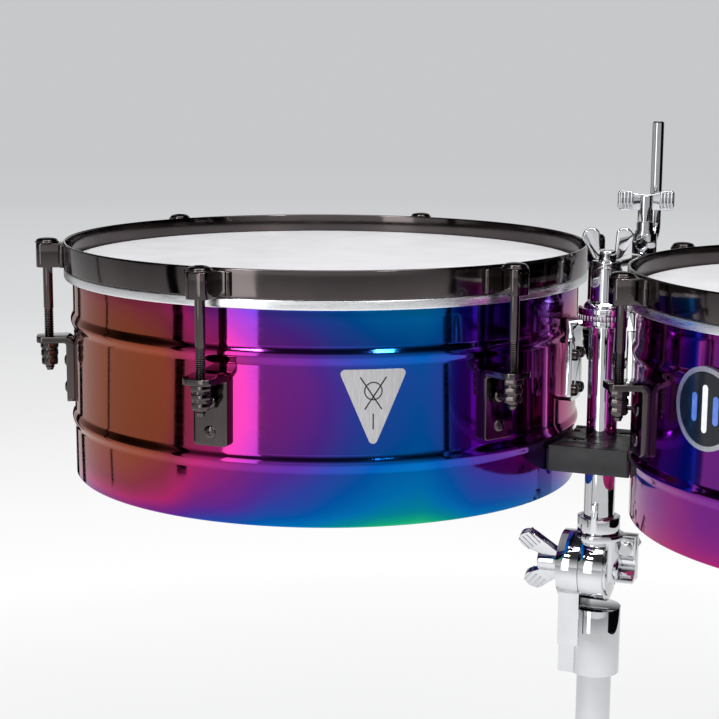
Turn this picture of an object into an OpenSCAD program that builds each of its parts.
// A pair of timbales on a folding tripod stand.
// X runs along the line of the two drums, -Y is the side of the badges, Z is up from the floor.
// The origin lies on the floor, midway between the outer edges of the two hoops.
// Drum heights are given from the hoop's top edge, downwards as negative numbers.

/* [Drums] */
// Outer radius of the larger shell
left_shell_r = 190.5; // [188:0.5:192]
// Outer radius of the smaller shell
right_shell_r = 177.8; // [175:0.1:180]
// Height of the larger drum's hoop above the floor
rim_z = 850; // [820:1:900]
// How much lower the smaller drum's hoop sits
right_drop = 3; // [0:0.5:4]
// Wall of the shells
shell_wall = 1.2; // [1:0.1:1.5]
// Bottom edge of the shells below the hoop's top
shell_bottom = -173.4; // [-180:0.1:-170]
// Bearing edge, where the head turns down, below the hoop's top
edge_z = -14; // [-15:0.1:-13]
// Height of the two swaged beads below the hoop's top
bead_z = [-57.5, -130];
// Half of a bead's height
bead_half = 7; // [5:0.5:8]
// How far a bead stands out
bead_out = 2; // [1:0.1:2.5]

/* [Hoop and tuning] */
// Height of the hoop
hoop_h = 19.6; // [18:0.1:21]
// How far the hoop's outer face stands out from the shell
hoop_out = 6.5; // [6.3:0.1:7]
// Thickness of the hoop
hoop_t = 2.4; // [2:0.1:2.8]
// Distance of the tension rods from the shell
rod_out = 18; // [17.5:0.1:19]
// Number of tension rods on each drum
rod_count = 6; // [6:1:6]
// Radius of a tension rod's plain shank
rod_r = 3.57; // [3.2:0.01:3.6]
// Lower end of the tension rods
rod_bottom = -97; // [-100:1:-95]

/* [Stand] */
// Distance from the post to the larger drum's centre
left_reach = 217; // [216:0.5:219]
// Distance from the post to the smaller drum's centre
right_reach = 204; // [203:0.5:206]
// Radius of the post between the drums
post_r = 11.1; // [10.5:0.1:11.2]
// Height of the tilter's axis below the hoop's top
tilter_drop = 231; // [228:1:236]
// Radius of the tilter's discs
tilter_r = 25; // [23:0.5:26]
// Outer radius of the tube that slides for height
riser_r = 12.7; // [12:0.1:12.8]
// Outer radius of the base tube
base_r = 15.9; // [15.6:0.1:16]
// Height of the base tube's top end
base_top = 470; // [465:1:480]

/* [Tripod] */
// Number of legs
leg_count = 3; // [3:1:3]
// Distance of the leg and brace pivots from the stand's axis
pivot_r = 27; // [26.5:0.1:28]
// Height of the legs' upper pivots
leg_pivot_z = 262; // [258:1:266]
// Height of the braces' lower pivots
brace_pivot_z = 82; // [80:1:84]
// Distance of a foot from the stand's axis
foot_r = 320; // [310:1:330]
// Height of the leg's end above the floor
foot_z = 18; // [17:0.5:20]
// Width of the leg and brace strips
strip_w = 15; // [13:0.5:16]
// Thickness of a strip
strip_t = 2.5; // [2:0.1:2.5]

/* [Hidden] */
$fn = 96;
eps = 0.01;

// The post's place: it puts the origin midway between the two hoops' outer edges
hoop_edge_left = left_reach + left_shell_r + hoop_out;
hoop_edge_right = right_reach + right_shell_r + hoop_out;
stand_x = (hoop_edge_left - hoop_edge_right) / 2;

black_nickel = [0.16, 0.15, 0.15];
chrome = [0.82, 0.83, 0.85];
rainbow = [0.45, 0.15, 0.6];
aluminium = [0.85, 0.87, 0.9];
head_white = [0.92, 0.92, 0.93];
black_plastic = [0.06, 0.06, 0.065];
rubber = [0.05, 0.05, 0.05];

// Heights in the stand's stack, measured from the larger drum's hoop top
left_arm_z = [-52, -47.6];
ring_z = [-47.4, -44.1];
right_arm_z = [-43.9, -39.3];
collar_z = [-39.2, -34.5];
block_z = [-153, -134.5];
post_top = -11;
arm_z = [-11, -6];
socket_top = -205;
lock_z = [-204.6, -193];
tilter_z = rim_z - tilter_drop;

// ---------- shared helpers ----------

module at_post() {
    translate([stand_x, 0, rim_z]) children();
}

module at_left() {
    translate([stand_x - left_reach, 0, rim_z]) children();
}

module at_right() {
    translate([stand_x + right_reach, 0, rim_z - right_drop]) rotate(180) children();
}

// Six stations round a drum; the bracket at 0 degrees lies midway between two of them
module at_lugs(r) {
    for (i = [0 : rod_count - 1])
        rotate(30 + 60 * i) translate([r, 0, 0]) children();
}

module at_both_lugs(offset_r) {
    at_left() at_lugs(left_shell_r + offset_r) children();
    at_right() at_lugs(right_shell_r + offset_r) children();
}

// A solid of revolution between two heights
module ring(r_out, r_in, z0, z1) {
    translate([0, 0, z0]) difference() {
        cylinder(r = r_out, h = z1 - z0);
        translate([0, 0, -1]) cylinder(r = r_in, h = z1 - z0 + 2);
    }
}

module disc(r, z0, z1) {
    translate([0, 0, z0]) cylinder(r = r, h = z1 - z0);
}

module block(x, y, z) {
    translate([x[0], y[0], z[0]]) cube([x[1] - x[0], y[1] - y[0], z[1] - z[0]]);
}

// A flat outline with round corners, centred on the origin
module round_rect(w, d, r) {
    square([w - 2 * r, d], center = true);
    square([w, d - 2 * r], center = true);
    for (sx = [-1, 1], sy = [-1, 1])
        translate([sx * (w / 2 - r), sy * (d / 2 - r)]) circle(r = r, $fn = 40);
}

// A bar with round ends between two points of a plane
module bar_outline(a, b, w) {
    run = b - a;
    translate(a) rotate(atan2(run[1], run[0])) {
        circle(r = w / 2, $fn = 48);
        translate([norm(run), 0]) circle(r = w / 2, $fn = 48);
        translate([0, -w / 2]) square([norm(run), w]);
    }
}

// A pan-headed screw's head, pointing along +X from the face
module screw_head(r, h) {
    rotate([0, 90, 0]) rotate_extrude($fn = 40) polygon(concat(
        [[0, -eps]],
        [[r, -eps]],
        [for (a = [0 : 15 : 90]) [r * (0.55 + 0.45 * cos(a)), h * (0.35 + 0.65 * sin(a))]],
        [[0, h]]));
}

// A wing nut or wing bolt standing on z = 0: a hub and two paddles flaring up and out
module wing(hub_r, hub_h, span, tall, blade_t, bore_r) {
    paddle_r = tall * 0.27;
    paddle = [span / 2 - paddle_r, tall - paddle_r];
    neck = paddle_r * 0.72;
    difference() {
        union() {
            cylinder(r = hub_r, h = hub_h);
            rotate([90, 0, 0]) translate([0, 0, -blade_t / 2]) linear_extrude(blade_t) {
                for (side = [-1, 1]) {
                    translate([side * paddle[0], paddle[1]]) circle(r = paddle_r, $fn = 48);
                    polygon([
                        [0, 0.6], [side * hub_r * 1.15, 0.6], [side * (paddle[0] + neck), paddle[1] - neck * 0.5],
                        [side * (paddle[0] - neck), paddle[1] + neck * 0.5], [0, hub_h * 0.8]]);
                }
            }
        }
        translate([0, 0, -1]) cylinder(r = bore_r, h = hub_h + tall + 2, $fn = 40);
    }
}

// ---------- drums ----------

// One bead as points of the wall's profile, from its top to its foot
function bead(r, zc) = [
    for (k = [-4 : 4])
        [r + bead_out * (1 + cos(45 * k)) / 2, zc - bead_half * k / 4]
];

module shell(r) {
    inner = r - shell_wall;
    flange = 7;
    wall_out = concat(
        [[r - 3, edge_z - 0.8], [r - 2.2, edge_z - 0.2], [r - 0.9, edge_z - 0.8], [r, edge_z - 2.6]],
        bead(r, bead_z[0]),
        bead(r, bead_z[1]),
        [[r, shell_bottom + 1], [r - 0.8, shell_bottom], [r - flange, shell_bottom]]);
    wall_in = concat(
        [[inner, edge_z - 3.2]],
        bead(inner, bead_z[0]),
        bead(inner, bead_z[1]),
        [[inner, shell_bottom + shell_wall + 0.6], [inner - 0.8, shell_bottom + shell_wall],
         [r - flange, shell_bottom + shell_wall]]);
    count = len(wall_in);
    color(rainbow) difference() {
        rotate_extrude($fn = 180)
            polygon(concat(wall_out, [for (i = [1 : count]) wall_in[count - i]]));
        at_lugs(r) lug_screw_holes();
        bracket_screw_holes(r);
    }
}

// The room that a shell and its beads take, for parts that lie against it
module shell_room(r, z0, z1) {
    gap = 0.12;
    bead_room = bead_half + 0.5;
    translate([0, 0, z0]) cylinder(r = r + gap, h = z1 - z0, $fn = 180);
    for (z = bead_z)
        translate([0, 0, z - bead_room]) cylinder(r = r + bead_out + gap, h = 2 * bead_room, $fn = 180);
}

module lug_screw_holes() {
    for (z = lug_screw_z)
        translate([-4, 0, z]) rotate([0, 90, 0]) cylinder(r = 2.6, h = 14, $fn = 32);
}

module bracket_screw_holes(r) {
    for (y = bracket_screw_y, z = bracket_screw_z)
        translate([r - 10, y, z]) rotate([0, 90, 0]) cylinder(r = 2.6, h = 30, $fn = 32);
}

head_t = 0.5;
skirt_gap = 0.2;
module drumhead(r) {
    skirt = r + skirt_gap;
    color(head_white) rotate_extrude($fn = 180) polygon([
        [0, edge_z], [r - 1.4, edge_z], [skirt, edge_z - 2.4], [skirt, edge_z - 11],
        [skirt + head_t, edge_z - 11], [skirt + head_t, edge_z - 1.8],
        [r - 1, edge_z + head_t], [0, edge_z + head_t]]);
}

flesh_t = 6.9;
module flesh_hoop(r) {
    inner = r + skirt_gap + head_t + 0.1;
    outer = r + hoop_out - 0.3;
    color(aluminium) rotate_extrude($fn = 180) polygon([
        [inner, -hoop_h - 0.05], [outer - 0.6, -hoop_h - 0.05], [outer, -hoop_h - 0.6],
        [outer, -hoop_h - flesh_t + 0.6], [outer - 0.6, -hoop_h - flesh_t],
        [inner, -hoop_h - flesh_t]]);
}

// The hoop: a flanged band with welded ears that take the tension rods
ear_z = [-19.3, -1.5];
module hoop(r) {
    outer = r + hoop_out;
    inner = outer - hoop_t;
    flange_in = r + skirt_gap + head_t + 0.4;
    color(black_nickel) difference() {
        union() {
            rotate_extrude($fn = 180) polygon([
                [inner, -hoop_h + 2.2], [inner, -0.7], [inner + 0.5, 0], [outer - 0.5, 0],
                [outer, -0.7], [outer, -hoop_h + 0.6], [outer - 0.6, -hoop_h],
                [flange_in, -hoop_h], [flange_in, -hoop_h + 2.2]]);
            difference() {
                at_lugs(r + rod_out) ear(outer - r - rod_out);
                ring(outer - 0.4, 1, -hoop_h - 1, 1);
            }
        }
        at_lugs(r + rod_out) translate([0, 0, -25]) cylinder(r = rod_r + 0.35, h = 30, $fn = 40);
    }
}

// An ear in plan: a block round the rod and a wider welded pad with rolled edges
module ear(hoop_face) {
    ear_w = 16;
    ear_front = 8;
    corner = 4.5;
    translate([0, 0, ear_z[0]]) linear_extrude(ear_z[1] - ear_z[0]) {
        translate([hoop_face - 3, -ear_w / 2]) square([ear_front - corner - hoop_face + 3, ear_w]);
        translate([hoop_face - 3, -ear_w / 2 + corner])
            square([ear_front - hoop_face + 3, ear_w - 2 * corner]);
        for (s = [-1, 1])
            translate([ear_front - corner, s * (ear_w / 2 - corner)]) circle(r = corner, $fn = 48);
    }
    translate([0, 0, ear_z[0] + 1]) linear_extrude(ear_z[1] - ear_z[0] - 1.4) {
        translate([hoop_face - 3, -15]) square([4.6, 30]);
        for (s = [-1, 1])
            translate([hoop_face + 0.6, s * 14.8]) circle(r = 2.1, $fn = 40);
    }
}

// A tension rod: domed head, plain shank and the threaded end, drawn plain
head_r = 7.9;
head_top = 2.4;
thread_top = -51;
module tension_rod() {
    rotate_extrude($fn = 48) polygon(concat(
        [[0, rod_bottom], [rod_r - 0.7, rod_bottom], [rod_r - 0.17, rod_bottom + 0.6],
         [rod_r - 0.17, thread_top], [rod_r, thread_top + 0.4], [rod_r, ear_z[1] + 1.3],
         [head_r, ear_z[1] + 1.3]],
        [for (a = [10 : 10 : 80])
            [head_r * cos(a), ear_z[1] + 1.3 + (head_top - ear_z[1] - 1.3) * sin(a)]],
        [[0, head_top]]));
}

module tension_rods() {
    color(black_nickel) at_both_lugs(rod_out) tension_rod();
}

module rod_washers() {
    color(black_nickel) at_both_lugs(rod_out)
        ring(8.9, rod_r + 0.3, ear_z[1] + 0.05, ear_z[1] + 1.25);
}

// A lug bracket: a plate screwed to the shell, bent out at its top into the tab that holds the nut
tab_z = [-75.5, -71];
plate_bottom = -119.8;
plate_t = 5.5;
plate_w = 25;
lug_screw_z = [-110.3, -90];
module lug_bracket(r) {
    bend = 6;
    tab_w = 20.5;
    tab_reach = rod_out + 9.3;
    corner = 5;
    difference() {
        union() {
            // plate
            translate([-2, 0, 0]) rotate([0, 90, 0]) linear_extrude(plate_t + 2)
                translate([-(plate_bottom + tab_z[1] - bend) / 2, 0])
                    round_rect(tab_z[1] - bend - plate_bottom, plate_w, 2.5);
            // bend
            translate([0, plate_w / 2, 0]) rotate([90, 0, 0]) linear_extrude(plate_w) intersection() {
                translate([plate_t - bend + 6, tab_z[1] - 6]) union() {
                    translate([-bend, 0]) circle(r = bend, $fn = 64);
                    translate([-bend - 8, -8]) square([8 + bend - bend, 8 + bend]);
                    translate([-bend - 8, -8]) square([8 + bend, 8]);
                }
                translate([-2, tab_z[1] - 9]) square([plate_t + 8, 9]);
            }
            // tab
            translate([0, 0, tab_z[0]]) linear_extrude(tab_z[1] - tab_z[0]) {
                translate([0, -tab_w / 2]) square([tab_reach - corner, tab_w]);
                translate([0, -tab_w / 2 + corner]) square([tab_reach, tab_w - 2 * corner]);
                for (s = [-1, 1])
                    translate([tab_reach - corner, s * (tab_w / 2 - corner)]) circle(r = corner, $fn = 48);
            }
        }
        translate([rod_out, 0, tab_z[0] - 1]) cylinder(r = rod_r + 0.3, h = 7, $fn = 40);
        translate([-r, 0, -160]) cylinder(r = r, h = 150, $fn = 180);
        lug_screw_holes();
    }
}

module lug_brackets(r) {
    color(black_nickel) at_lugs(r) lug_bracket(r);
}

// A lug nut: three hexagonal collars under the tab, on the rod's thread
module lug_nut() {
    nut_top = tab_z[0] - 0.1;
    difference() {
        union() {
            for (k = [0 : 2])
                translate([0, 0, nut_top - 4.4 - 6 * k]) cylinder(r = 7.6 - 0.35 * k, h = 4.4, $fn = 6);
            disc(5.9, nut_top - 17.2, nut_top);
        }
        translate([0, 0, nut_top - 18]) cylinder(r = rod_r - 0.12, h = 20, $fn = 40);
    }
}

module lug_nuts() {
    color(black_nickel) at_both_lugs(rod_out) lug_nut();
}

module lug_screws() {
    color(black_nickel) at_both_lugs(0) for (z = lug_screw_z)
        translate([0, 0, z]) {
            translate([plate_t + 0.02, 0, 0]) difference() {
                screw_head(4.4, 1.8);
                for (turn = [0, 90])
                    rotate([turn, 0, 0]) block([0.7, 4], [-0.6, 0.6], [-2.4, 2.4]);
            }
            translate([-3.5, 0, 0]) rotate([0, 90, 0]) cylinder(r = 2.4, h = plate_t + 3.6, $fn = 32);
        }
}

// ---------- drum mounting ----------

bracket_screw_y = [-7.5, 7.5];
bracket_screw_z = [-100.2, -74.6];
bracket_w = 30;
bracket_t = 4.4;

// A plate down the shell and a flat arm out to an eye that sits on the post
module mount_bracket(r, reach, level) {
    eye_r = 19.4;
    plate_top = level[1];
    plate_foot = -108;
    pad = 6.5;
    color(chrome) difference() {
        union() {
            translate([r - 2, 0, 0]) rotate([0, 90, 0]) linear_extrude(pad + 2)
                translate([-(plate_foot + plate_top - 10) / 2, 0])
                    round_rect(plate_top - 10 - plate_foot, bracket_w, 6);
            translate([r + 2, 0, 0]) rotate([0, 90, 0]) linear_extrude(bracket_t)
                translate([-(plate_foot + 38 + plate_top) / 2, 0])
                    round_rect(plate_top - plate_foot - 38, bracket_w - 1, 2);
            translate([0, 0, level[0]]) linear_extrude(level[1] - level[0]) {
                translate([r + 2, -bracket_w / 2 + 0.5]) square([reach - r - 10, bracket_w - 1]);
                translate([reach, 0]) circle(r = eye_r, $fn = 96);
            }
        }
        shell_room(r, -160, -10);
        translate([reach, 0, -160]) cylinder(r = post_r + 0.08, h = 150);
        bracket_screw_holes(r);
    }
}

// A curved plate inside the shell that spreads the load of the bracket
module backing_plate(r) {
    outer = r - shell_wall;
    color(black_nickel) difference() {
        intersection() {
            ring(outer, outer - 2.5, -108, -67);
            block([0, r], [-15, 15], [-120, -60]);
        }
        bracket_screw_holes(r);
    }
}

module bracket_fasteners(r) {
    for (y = bracket_screw_y, z = bracket_screw_z)
        translate([r, y, z]) children();
}

module bracket_screws() {
    color(black_nickel) {
        at_left() bracket_fasteners(left_shell_r) bracket_screw();
        at_right() bracket_fasteners(right_shell_r) bracket_screw();
    }
}

module bracket_screw() {
    translate([6.52, 0, 0]) difference() {
        screw_head(4.1, 3.6);
        translate([2.2, 0, 0]) rotate([0, 90, 0]) cylinder(r = 2, h = 4, $fn = 6);
    }
    translate([-8, 0, 0]) rotate([0, 90, 0]) cylinder(r = 2.4, h = 14.6, $fn = 32);
}

module backing_nuts() {
    color(chrome) {
        at_left() bracket_fasteners(left_shell_r) backing_nut();
        at_right() bracket_fasteners(right_shell_r) backing_nut();
    }
}

module backing_nut() {
    translate([-7.9, 0, 0]) rotate([0, 90, 0]) difference() {
        cylinder(r = 4.6, h = 3.6, $fn = 6);
        translate([0, 0, -1]) cylinder(r = 2.45, h = 6, $fn = 32);
    }
}

// ---------- badges ----------

badge_t = 1;
round_badge_t = 3.2;
// Blank triangular plate, point down, following the shell
module triangle_badge() {
    corner = 3;
    half_w = 21.7;
    top = -66;
    foot = -116;
    shape = [[-half_w + corner, top - corner], [half_w - corner, top - corner], [0, foot + corner + 2]];
    color(aluminium) rotate(-57.5) intersection() {
        ring(left_shell_r + badge_t, left_shell_r + 0.02, -125, -60);
        rotate([90, 0, 90]) linear_extrude(250) union() {
            polygon([
                [-half_w + corner, top], [half_w - corner, top],
                [half_w - corner * 0.13, top - corner * 1.5], [corner * 0.87, foot + corner * 0.5],
                [-corner * 0.87, foot + corner * 0.5], [-half_w + corner * 0.13, top - corner * 1.5]]);
            for (p = [shape[0], shape[1], [0, foot + corner]])
                translate(p) circle(r = corner, $fn = 32);
        }
    }
}

// Round domed plate following the shell
module round_badge() {
    centre_z = -74;
    color(black_plastic) rotate(55) difference() {
        intersection() {
            disc(right_shell_r + round_badge_t, centre_z - 30, centre_z + 30);
            translate([0, 0, centre_z]) rotate([0, 90, 0]) cylinder(r = 26.5, h = 250, $fn = 96);
        }
        shell_room(right_shell_r, centre_z - 40, centre_z + 40);
    }
}

// ---------- stand: post and what it carries ----------

post_foot = 10.2 - tilter_drop;
module post() {
    color(chrome) at_post() difference() {
        union() {
            disc(post_r, post_foot, post_top - 0.6);
            disc(post_r - 0.6, post_top - 1, post_top);
            disc(4, post_top - eps, 2);
        }
        disc(post_r - 3.2, post_foot - 1, -60);
        translate([0, 0, -tilter_drop])
            block([-2 * post_r, disc_split + 0.25], [-post_r - 1, post_r + 1], [0, tilter_r + 0.8]);
    }
}

// A ring with teeth round its edge, clamped between the two drums' arms
module toothed_ring() {
    teeth = 40;
    color(chrome) at_post() difference() {
        disc(18.6, ring_z[0], ring_z[1]);
        for (i = [0 : teeth - 1])
            rotate(i * 360 / teeth) translate([18.9, 0, ring_z[0] - 1]) cylinder(r = 0.9, h = 6, $fn = 16);
        translate([0, 0, ring_z[0] - 1]) cylinder(r = post_r + 0.08, h = 6);
    }
}

module stack_collar() {
    color(chrome) at_post() rotate_extrude() polygon([
        [post_r + 0.08, collar_z[0]], [15.5, collar_z[0]], [15.2, collar_z[0] + 1.6],
        [14.2, collar_z[0] + 3], [12.8, collar_z[1] - 0.5], [post_r + 0.08, collar_z[1]]]);
}

// Black block between the two shells, shaped to both, clamped on the post
module spacer_block() {
    front = -40;
    back = 33;
    corner = 4;
    color(black_plastic) at_post() difference() {
        translate([0, 0, block_z[0]]) linear_extrude(block_z[1] - block_z[0]) difference() {
            translate([0, (front + back) / 2]) round_rect(63, back - front, corner);
            translate([-left_reach, 0]) circle(r = left_shell_r + 0.3, $fn = 180);
            translate([right_reach, 0]) circle(r = right_shell_r + 0.3, $fn = 180);
            circle(r = post_r + 0.05);
        }
        translate([-left_reach, 0, bead_z[1] - bead_half - 0.5])
            cylinder(r = left_shell_r + bead_out + 0.2, h = 20, $fn = 180);
        translate([right_reach, 0, bead_z[1] - bead_half - right_drop - 0.5])
            cylinder(r = right_shell_r + bead_out + 0.2, h = 20, $fn = 180);
        for (y = [-26, -13, 13, 25])
            translate([-21.5 - abs(y) * 0.02, y, block_z[1] - 8]) cylinder(r = 2.4, h = 10, $fn = 32);
        translate([-2, -22, block_z[1] - 9]) block([-14, 14], [-1, 1], [0, 12]);
        for (p = spacer_screw_xy)
            translate([p[0], p[1], block_z[0] - 1]) {
                cylinder(r = 2.1, h = 30, $fn = 32);
                translate([0, 0, 16]) cylinder(r = 4.3, h = 6, $fn = 40);
            }
    }
}

spacer_screw_xy = [[-13.5, -14.5], [13.5, 17]];
module spacer_screws() {
    color(black_nickel) at_post() for (p = spacer_screw_xy)
        translate([p[0], p[1], 0]) difference() {
            union() {
                disc(2, block_z[0] + 1, block_z[1] - 3);
                disc(4.1, block_z[1] - 3.4, block_z[1] - 0.6);
            }
            for (turn = [0, 90])
                rotate(turn) block([-2.4, 2.4], [-0.5, 0.5], [block_z[1] - 1.8, block_z[1]]);
        }
}

module top_wing_nut() {
    color(chrome) at_post() translate([0, 0, arm_z[1] + 0.1]) rotate(22)
        wing(6.6, 7.5, 36, 23.5, 4, 4.05);
}

// ---------- accessory rod and its holder ----------

clamp_xy = [13.8, 56.3];
rod_xy = [13.8, 90];
foot_level = 2;
accessory_r = 4.3;
// A flat arm from the post's top, back between the drums, to an eye under the clamp
module accessory_arm() {
    color(chrome) at_post() difference() {
        translate([0, 0, arm_z[0]]) linear_extrude(arm_z[1] - arm_z[0]) {
            bar_outline([0, 0], clamp_xy, 15);
            circle(r = 10.5);
            translate(clamp_xy) circle(r = 10);
        }
        disc(4.1, arm_z[0] - 1, arm_z[1] + 1);
        translate([clamp_xy[0], clamp_xy[1], 0]) disc(3.1, arm_z[0] - 1, arm_z[1] + 1);
    }
}

module rod_clamp() {
    color(chrome) at_post() translate([clamp_xy[0], clamp_xy[1], 0]) difference() {
        union() {
            disc(3, arm_z[0] - 3, arm_z[1] + 1);
            disc(6.5, arm_z[0] - 4, arm_z[0] - 0.1);
            disc(9, arm_z[1] + 0.1, foot_level + 7);
            disc(7.2, foot_level + 7 - eps, foot_level + 9);
            disc(6.2, foot_level + 9 - eps, foot_level + 15);
        }
        translate([0, -30, foot_level]) rotate([-90, 0, 0]) cylinder(r = accessory_r + 0.06, h = 60, $fn = 48);
        disc(3.1, foot_level + 5, foot_level + 20);
    }
}

// The rod: a foot through the clamp, a round bend, and the upright that carries a bell
module accessory_rod() {
    bend_r = 12;
    top = 89.5;
    color(chrome) at_post() translate([rod_xy[0], 0, foot_level]) {
        translate([0, clamp_xy[1] - 12, 0]) rotate([-90, 0, 0])
            cylinder(r = accessory_r, h = rod_xy[1] - bend_r - clamp_xy[1] + 12, $fn = 48);
        translate([0, rod_xy[1] - bend_r, bend_r]) rotate([90, 0, 90]) rotate(-90)
            rotate_extrude(angle = 90, $fn = 96) translate([bend_r, 0]) circle(r = accessory_r, $fn = 48);
        translate([0, rod_xy[1], bend_r]) cylinder(r = accessory_r, h = top - foot_level - bend_r - 1, $fn = 48);
        translate([0, rod_xy[1], top - foot_level - 1 - eps])
            cylinder(r1 = accessory_r, r2 = accessory_r - 1, h = 1, $fn = 48);
    }
}

// Wing bolt with a broad ribbed handle
module rod_wing_bolt() {
    base = foot_level + 15.1;
    handle = [26, 40.5];
    span = 41;
    color(chrome) at_post() translate([clamp_xy[0], clamp_xy[1], 0]) {
        disc(2.9, foot_level + 5.2, base);
        disc(5.6, base, handle[1] - 3);
        rotate(22) difference() {
            rotate([90, 0, 0]) translate([0, 0, -3]) linear_extrude(6) difference() {
                translate([0, (handle[0] + handle[1]) / 2]) round_rect(span, handle[1] - handle[0], 2.5);
                translate([0, handle[1] + 27]) circle(r = 30, $fn = 120);
                for (s = [-1, 1])
                    translate([s * 12.5, handle[0] - 3]) circle(r = 6, $fn = 64);
            }
            for (s = [-1, 1], k = [0 : 3], face = [-1, 1])
                translate([s * (18.6 - 2.6 * k), face * 3.4, handle[0] - 1])
                    cylinder(r = 0.9, h = 18, $fn = 16);
        }
    }
}

// ---------- tilter ----------

disc_split = -8.7;
tilter_left = -25.2;
tilter_right = 9.2;
bolt_r = 5;
bolt_cap_r = 9;

// A disc with its axis along X between two places
module cross_disc(r, x0, x1) {
    translate([x0, 0, 0]) rotate([0, 90, 0]) cylinder(r = r, h = x1 - x0);
}

module at_tilter() {
    translate([stand_x, 0, tilter_z]) children();
}

socket_r = 16.5;
socket_h = tilter_drop + socket_top;
// Upper half: a disc and the split socket that grips the post
module tilter_upper() {
    lobe_x = [11, 25.8];
    color(chrome) at_tilter() difference() {
        union() {
            cross_disc(tilter_r, disc_split + 0.2, tilter_right);
            cross_disc(tilter_r - 4, tilter_right - eps, tilter_right + 1.5);
            disc(socket_r, -8, socket_h);
            disc(socket_r + 1.8, socket_h - 4, socket_h - 0.3);
            translate([0, 0, 6]) block([tilter_right - 4, lobe_x[1]], [2, 20], [-18, socket_h - 10]);
        }
        disc(post_r + 0.08, 10, socket_h + 1);
        cross_disc(bolt_r + 0.15, -20, 30);
        cross_disc(bolt_cap_r + 0.7, tilter_right + 1.5, 40);
        block([post_r - 2, 40], [9.6, 12.4], [-30, 60]);
        translate([20.9, 0, 14]) rotate([-90, 0, 0]) cylinder(r = 3.1, h = 40, $fn = 40);
        block([-30, disc_split + 0.2], [-30, 30], [-30, 40]);
    }
}

// Lower half: a disc, an arm down its side and the socket on the riser tube
module tilter_lower() {
    arm_half = 17;
    color(chrome) at_tilter() difference() {
        union() {
            cross_disc(tilter_r, tilter_left, disc_split - 0.2);
            cross_disc(tilter_r - 5, tilter_left - 1.5, tilter_left + eps);
            block([tilter_left + 1, disc_split - 0.2], [-arm_half, arm_half], [-58, -10]);
            translate([0, 0, -80]) linear_extrude(50) {
                translate([tilter_left + 1, -13]) square([20, 26]);
                circle(r = 18);
            }
        }
        disc(riser_r + 0.02, -81, -34);
        cross_disc(bolt_r + 0.08, -40, 20);
        translate([disc_split - 0.2, 0, 0]) rotate([0, 90, 0]) cylinder(r = tilter_r + 1.6, h = 60);
    }
}

module tilter_bolt() {
    color(chrome) at_tilter() {
        cross_disc(bolt_r, -36, tilter_right + 2);
        translate([tilter_right + 1.6, 0, 0]) screw_head(bolt_cap_r, 6);
    }
}

module tilter_wing_nut() {
    color(chrome) at_tilter() translate([tilter_left - 1.7, 0, 0]) rotate([25, 0, 0]) rotate([0, -90, 0])
        wing(8, 17, 54, 30, 6, bolt_r + 0.08);
}

// Locking ring on the post that keys into the socket, with its upright screw
module memory_lock() {
    color(chrome) at_post() {
        difference() {
            disc(15.5, lock_z[0], lock_z[1]);
            disc(post_r + 0.05, lock_z[0] - 1, lock_z[1] + 1);
            block([-1, 1], [0, 30], [lock_z[0] - 1, lock_z[1] + 1]);
        }
        translate([0, -13.6, 0]) disc(2.6, lock_z[1] - eps, lock_z[1] + 5);
        translate([0, -13.6, lock_z[1] + 5 - eps]) rotate(45) cylinder(r = 3.4, h = 6, $fn = 4);
    }
}

module post_clamp_screw() {
    color(chrome) at_tilter() translate([20.9, 0, 14]) {
        translate([0, 20.1, 0]) rotate([-90, 0, 0]) cylinder(r = 6, h = 4.5, $fn = 6);
        translate([0, -2.5, 0]) rotate([-90, 0, 0]) cylinder(r = 2.9, h = 24, $fn = 40);
        translate([0, -2.4, 0]) rotate([-90, 0, 0]) cylinder(r = 4.2, h = 4.3, $fn = 40);
    }
}

// ---------- riser and base tube ----------

clamp_z = [438, 478];
riser_foot = 262;
bush_r = 14.4;
module at_stand() {
    translate([stand_x, 0, 0]) children();
}

module riser_tube() {
    color(chrome) at_stand() difference() {
        disc(riser_r, riser_foot, tilter_z - 36);
        disc(riser_r - 1.6, riser_foot - 1, tilter_z - 60);
    }
}

// Stop ring on the riser that rests on the clamp
module height_lock() {
    color(chrome) at_stand() difference() {
        union() {
            disc(19, clamp_z[1] + 2.2, clamp_z[1] + 15);
            block([12, 27], [-6, 6], [clamp_z[1] + 2.2, clamp_z[1] + 15]);
        }
        disc(riser_r + 0.02, clamp_z[1] - 1, clamp_z[1] + 20);
        block([10, 40], [-1, 1], [clamp_z[1] - 1, clamp_z[1] + 20]);
    }
}

module height_clamp() {
    color(chrome) at_stand() difference() {
        union() {
            disc(20, clamp_z[0], clamp_z[1] - 2);
            disc(21.5, clamp_z[1] - 10, clamp_z[1] - 4);
            block([10, 34], [-11, 11], [clamp_z[0] + 6, clamp_z[1] - 6]);
        }
        disc(base_r + 0.02, clamp_z[0] - 1, base_top);
        disc(bush_r + 0.02, base_top - 5, clamp_z[1]);
        block([10, 40], [-1.5, 1.5], [clamp_z[0] - 1, clamp_z[1] + 1]);
        translate([26, -30, 458]) rotate([-90, 0, 0]) cylinder(r = 3.3, h = 60, $fn = 40);
    }
}

// Plastic bush between the tubes, with a flange on the clamp
module clamp_bush() {
    color(black_plastic) at_stand() difference() {
        union() {
            disc(base_r - 1.62, clamp_z[0] - 20, clamp_z[1] + 1);
            disc(18.5, clamp_z[1] - 1.9, clamp_z[1] + 2);
        }
        disc(riser_r + 0.1, clamp_z[0] - 30, clamp_z[1] + 5);
    }
}

module height_wing_bolt() {
    color(chrome) at_stand() translate([26, -11.2, 458]) rotate([90, 0, 0]) {
        disc(3.1, -22, 6);
        rotate(90) wing(7, 9, 50, 26, 5, 0.8);
    }
}

module base_tube() {
    color(chrome) at_stand() difference() {
        disc(base_r, 60, base_top);
        disc(base_r - 1.6, 59, base_top + 1);
    }
}

// ---------- tripod ----------

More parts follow.
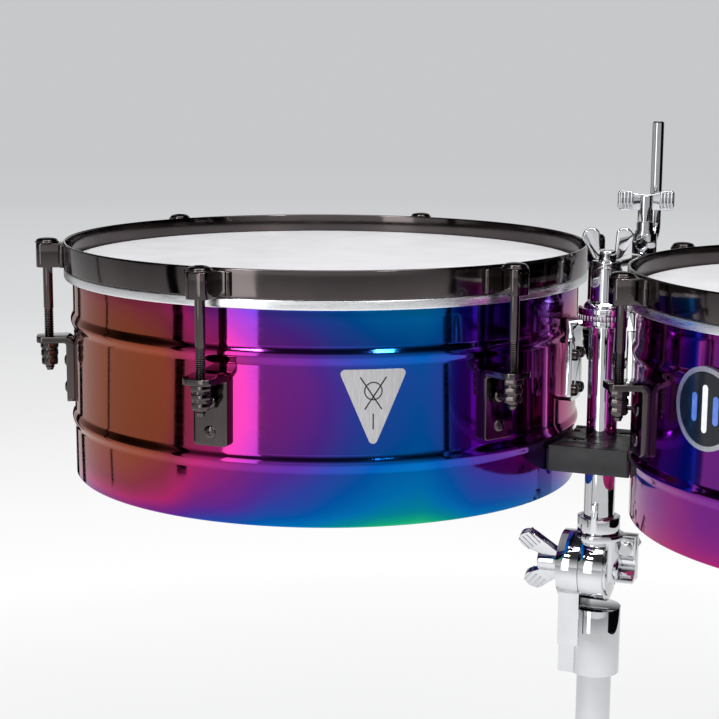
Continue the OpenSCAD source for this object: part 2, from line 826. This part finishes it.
ear_half = 4.2;
leg_y = [ear_half + 0.4, ear_half + 0.4 + strip_t];
brace_y = [leg_y[1] + 0.5, leg_y[1] + 0.5 + strip_t];
leg_top = [pivot_r, leg_pivot_z];
leg_end = [foot_r, foot_z];
brace_low = [pivot_r, brace_pivot_z];
brace_join = (leg_top + leg_end) / 2;
pin_r = 3;
collar_r = 19.8;

module at_leg(i) {
    at_stand() rotate(180 + i * 360 / leg_count) children();
}

// A pair of flat strips between two points of a leg's plane
module strips(a, b, y) {
    for (s = [-1, 1])
        translate([0, s * (y[0] + y[1]) / 2, 0]) rotate([90, 0, 0])
            translate([0, 0, -(y[1] - y[0]) / 2]) linear_extrude(y[1] - y[0]) bar_outline(a, b, strip_w);
}

module cross_pin(p, r, half) {
    translate([p[0], half, p[1]]) rotate([90, 0, 0]) cylinder(r = r, h = 2 * half, $fn = 48);
}

module collar(z, h, r) {
    at_stand() difference() {
        union() {
            disc(r, z - h / 2, z + h / 2);
            for (i = [0 : leg_count - 1])
                rotate(180 + i * 360 / leg_count) difference() {
                    translate([0, ear_half, 0]) rotate([90, 0, 0]) linear_extrude(2 * ear_half)
                        bar_outline([base_r + 5, z], [pivot_r, z], 13);
                    cross_pin([pivot_r, z], pin_r + 0.02, 10);
                }
        }
        disc(base_r + 0.1, z - h, z + h);
    }
}

module lower_collar() {
    color(chrome) collar(brace_pivot_z, 16, collar_r);
}

module brace_pins() {
    color(chrome) for (i = [0 : leg_count - 1])
        at_leg(i) {
            cross_pin(brace_low, pin_r, brace_y[1] + 0.3);
            for (s = [-1, 1])
                translate([0, s * (brace_y[1] + 1.2), 0]) cross_pin(brace_low, 4.6, 0.9);
        }
}

collar_h = 28;
module leg_collar() {
    color(chrome) difference() {
        union() {
            collar(leg_pivot_z, collar_h, collar_r);
            at_stand() translate([0, 0, leg_pivot_z]) rotate([0, 90, 0]) cylinder(r = 8, h = 30, $fn = 64);
        }
        at_stand() disc(base_r + 0.1, leg_pivot_z - 30, leg_pivot_z + 30);
        at_stand() translate([0, 0, leg_pivot_z]) rotate([0, 90, 0]) cylinder(r = 3.3, h = 60, $fn = 40);
    }
}

module leg_pins() {
    color(chrome) for (i = [0 : leg_count - 1])
        at_leg(i) {
            cross_pin(leg_top, pin_r, leg_y[1] + 0.3);
            for (s = [-1, 1])
                translate([0, s * (leg_y[1] + 1.2), 0]) cross_pin(leg_top, 4.6, 0.9);
        }
}

module collar_wing_bolt() {
    color(chrome) at_stand() translate([30.2, 0, leg_pivot_z]) rotate([0, 90, 0]) {
        disc(3.1, -13.5, 6);
        wing(7, 9, 46, 24, 5, 0.8);
    }
}

module leg(i) {
    spacer_at = leg_top + (leg_end - leg_top) * 0.82;
    color(chrome) at_leg(i) difference() {
        union() {
            strips(leg_top, leg_end, leg_y);
            cross_pin(spacer_at, 4, leg_y[1] - 0.5);
            cross_pin(leg_end, 4, leg_y[1] - 0.5);
        }
        cross_pin(leg_top, pin_r + 0.05, 20);
    }
}

// Rubber boot over the leg's end, flat underneath
module foot(i) {
    boot_r = 15;
    color(rubber) at_leg(i) difference() {
        translate([foot_r, 0, 0]) rotate_extrude($fn = 72) polygon([
            [0, 0], [boot_r - 3, 0], [boot_r - 0.8, 0.9], [boot_r, 3], [boot_r, 16],
            [boot_r - 2, 26], [boot_r - 4, 29], [0, 29]]);
        strips(leg_top, leg_end, leg_y);
        cross_pin(leg_end, 4, leg_y[1] - 0.5);
    }
}

module brace(i) {
    color(chrome) at_leg(i) difference() {
        union() {
            strips(brace_low, brace_join, brace_y);
            for (s = [-1, 1])
                translate([0, s * (brace_y[1] + 0.4), 0]) cross_pin(brace_join, 4.6, 1.1);
        }
        cross_pin(brace_low, pin_r + 0.05, 20);
    }
}

// ---------- the sub-parts by name ----------

at_left() shell(left_shell_r);  // left_shell
at_left() drumhead(left_shell_r);  // left_drumhead
at_left() flesh_hoop(left_shell_r);  // left_flesh_hoop
at_left() hoop(left_shell_r);  // left_hoop
at_left() lug_brackets(left_shell_r);  // left_lug_brackets
at_left() mount_bracket(left_shell_r, left_reach, left_arm_z);  // left_mount_bracket
at_left() backing_plate(left_shell_r);  // left_backing_plate
at_left() triangle_badge();  // left_badge
at_right() shell(right_shell_r);  // right_shell
at_right() drumhead(right_shell_r);  // right_drumhead
at_right() flesh_hoop(right_shell_r);  // right_flesh_hoop
at_right() hoop(right_shell_r);  // right_hoop
at_right() lug_brackets(right_shell_r);  // right_lug_brackets
at_right() mount_bracket(right_shell_r, right_reach, right_arm_z + [right_drop, right_drop]);  // right_mount_bracket
at_right() backing_plate(right_shell_r);  // right_backing_plate
at_right() round_badge();  // right_badge
tension_rods();
rod_washers();
lug_nuts();
lug_screws();
bracket_screws();
backing_nuts();
post();
toothed_ring();
stack_collar();
spacer_block();
spacer_screws();
top_wing_nut();
accessory_arm();
rod_clamp();
accessory_rod();
rod_wing_bolt();
tilter_upper();
tilter_lower();
tilter_bolt();
tilter_wing_nut();
memory_lock();
post_clamp_screw();
riser_tube();
height_lock();
height_clamp();
clamp_bush();
height_wing_bolt();
base_tube();
lower_collar();
brace_pins();
leg_collar();
leg_pins();
collar_wing_bolt();
leg(0);  // leg_1
leg(1);  // leg_2
leg(2);  // leg_3
foot(0);  // foot_1
foot(1);  // foot_2
foot(2);  // foot_3
brace(0);  // brace_1
brace(1);  // brace_2
brace(2);  // brace_3
